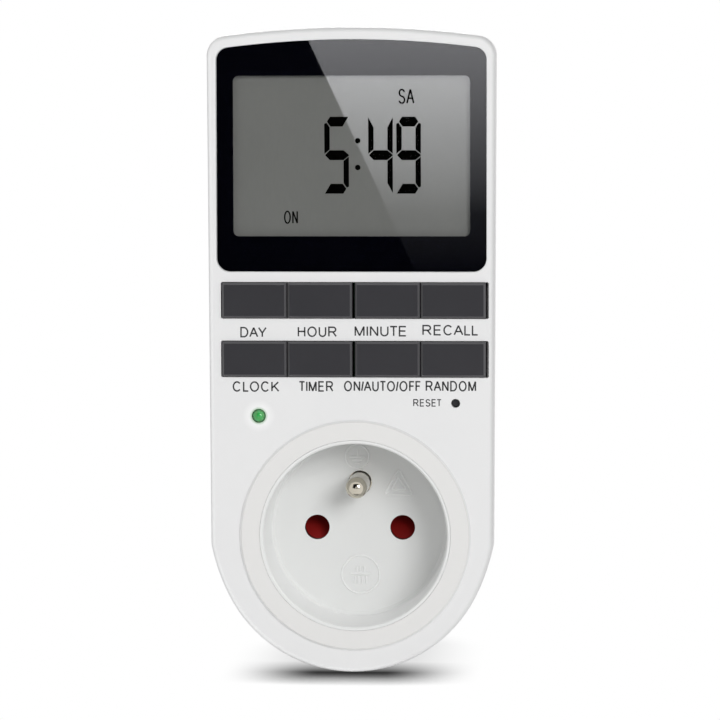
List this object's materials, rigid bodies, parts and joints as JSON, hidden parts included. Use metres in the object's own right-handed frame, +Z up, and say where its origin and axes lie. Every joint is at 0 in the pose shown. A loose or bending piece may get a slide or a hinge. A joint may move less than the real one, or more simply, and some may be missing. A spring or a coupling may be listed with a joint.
{
  "type": "digital timer",
  "caption": "Plug-in weekly mains timer: a white case with a round chin, a display window over two rows of keys, a recessed earth-pin socket in front and a two-pin plug behind.",
  "frame": {"origin": "common axis of plug and socket, in the plug's face", "axes": "+X to the right seen from the front, +Y backwards out of the plug, +Z up towards the display"},
  "size_m": [0.0628, 0.0728, 0.1407],
  "materials": {
    "case_front": "fine satin moulding",
    "case_rear": "fine satin moulding",
    "socket_white": "smooth semi-gloss",
    "lens": "clear polished acrylic",
    "mask": "black printed film",
    "lcd": "grey-green liquid crystal cell",
    "natural_plastic": "unpainted natural plastic",
    "strip_rubber": "soft silicone",
    "key_grey": "satin",
    "switch_black": "satin",
    "led_green": "clear tinted epoxy",
    "nickel": "nickel plated, turned",
    "shutter_red": "satin",
    "spring_steel": "bright",
    "contact_brass": "stamped, bright",
    "board_green": "solder resist",
    "relay_blue": "satin",
    "capacitor_yellow": "satin box",
    "capacitor_black": "shrink sleeve",
    "chip_black": "matt epoxy",
    "varistor_blue": "dipped epoxy",
    "fuse_glass": "glass tube in metal caps",
    "screw_steel": "zinc plated"
  },
  "bodies": {
    "timer": {"backup_battery": "spring_steel", "board_link": "chip_black", "board_screws": "screw_steel", "bridge_rectifier": "chip_black", "carrier_screws": "screw_steel", "case_screws": "screw_steel", "contact_carrier": "natural_plastic", "controller_chip": "chip_black", "crystal": "spring_steel", "display_lens": "lens", "display_mask": "mask", "earth_bridge": "contact_brass", "earth_clip_bottom": "nickel", "earth_clip_top": "nickel", "earth_pin": "nickel", "earth_sleeve": "contact_brass", "electrolytic_capacitor": "capacitor_black", "film_capacitor": "capacitor_yellow", "front_shell": "case_front", "fuse": "fuse_glass", "key_switches": "switch_black", "lcd_frame": "natural_plastic", "lcd_glass": "lcd", "live_contact": "contact_brass", "main_board": "board_green", "neutral_contact": "contact_brass", "plug_pin_left": "nickel", "plug_pin_right": "nickel", "power_board": "board_green", "power_screws": "screw_steel", "rear_shell": "case_rear", "relay": "relay_blue", "shutter_spring": "spring_steel", "socket_insert": "socket_white", "status_led": "led_green", "supply_strap": "contact_brass", "varistor": "varistor_blue", "zebra_strip": "strip_rubber"},
    "day_button": {"day_key": "key_grey", "day_plunger": "switch_black"},
    "hour_button": {"hour_key": "key_grey", "hour_plunger": "switch_black"},
    "minute_button": {"minute_key": "key_grey", "minute_plunger": "switch_black"},
    "recall_button": {"recall_key": "key_grey", "recall_plunger": "switch_black"},
    "clock_button": {"clock_key": "key_grey", "clock_plunger": "switch_black"},
    "timer_button": {"timer_key": "key_grey", "timer_plunger": "switch_black"},
    "mode_button": {"mode_key": "key_grey", "mode_plunger": "switch_black"},
    "random_button": {"random_key": "key_grey", "random_plunger": "switch_black"},
    "reset_pin": {"reset_button": "key_grey", "reset_plunger": "switch_black"},
    "shutter": {"socket_shutter": "shutter_red"}
  },
  "joints": [
    {"name": "day_press", "type": "slide", "parent": "timer", "child": "day_button", "axis": [0, 1, 0], "range_m": [0, 0.0008], "stiffness_N_per_m": 1500, "springref_m": -0.0003},
    {"name": "hour_press", "type": "slide", "parent": "timer", "child": "hour_button", "axis": [0, 1, 0], "range_m": [0, 0.0008], "stiffness_N_per_m": 1500, "springref_m": -0.0003},
    {"name": "minute_press", "type": "slide", "parent": "timer", "child": "minute_button", "axis": [0, 1, 0], "range_m": [0, 0.0008], "stiffness_N_per_m": 1500, "springref_m": -0.0003},
    {"name": "recall_press", "type": "slide", "parent": "timer", "child": "recall_button", "axis": [0, 1, 0], "range_m": [0, 0.0008], "stiffness_N_per_m": 1500, "springref_m": -0.0003},
    {"name": "clock_press", "type": "slide", "parent": "timer", "child": "clock_button", "axis": [0, 1, 0], "range_m": [0, 0.0008], "stiffness_N_per_m": 1500, "springref_m": -0.0003},
    {"name": "timer_press", "type": "slide", "parent": "timer", "child": "timer_button", "axis": [0, 1, 0], "range_m": [0, 0.0008], "stiffness_N_per_m": 1500, "springref_m": -0.0003},
    {"name": "mode_press", "type": "slide", "parent": "timer", "child": "mode_button", "axis": [0, 1, 0], "range_m": [0, 0.0008], "stiffness_N_per_m": 1500, "springref_m": -0.0003},
    {"name": "random_press", "type": "slide", "parent": "timer", "child": "random_button", "axis": [0, 1, 0], "range_m": [0, 0.0008], "stiffness_N_per_m": 1500, "springref_m": -0.0003},
    {"name": "reset_press", "type": "slide", "parent": "timer", "child": "reset_pin", "axis": [0, 1, 0], "range_m": [0, 0.0008], "stiffness_N_per_m": 1500, "springref_m": -0.0003},
    {"name": "shutter_drop", "type": "slide", "parent": "timer", "child": "shutter", "axis": [0, 0, -1], "range_m": [0, 0.0064], "stiffness_N_per_m": 60, "springref_m": -0.01, "deforming": ["shutter_spring"]}
  ]
}
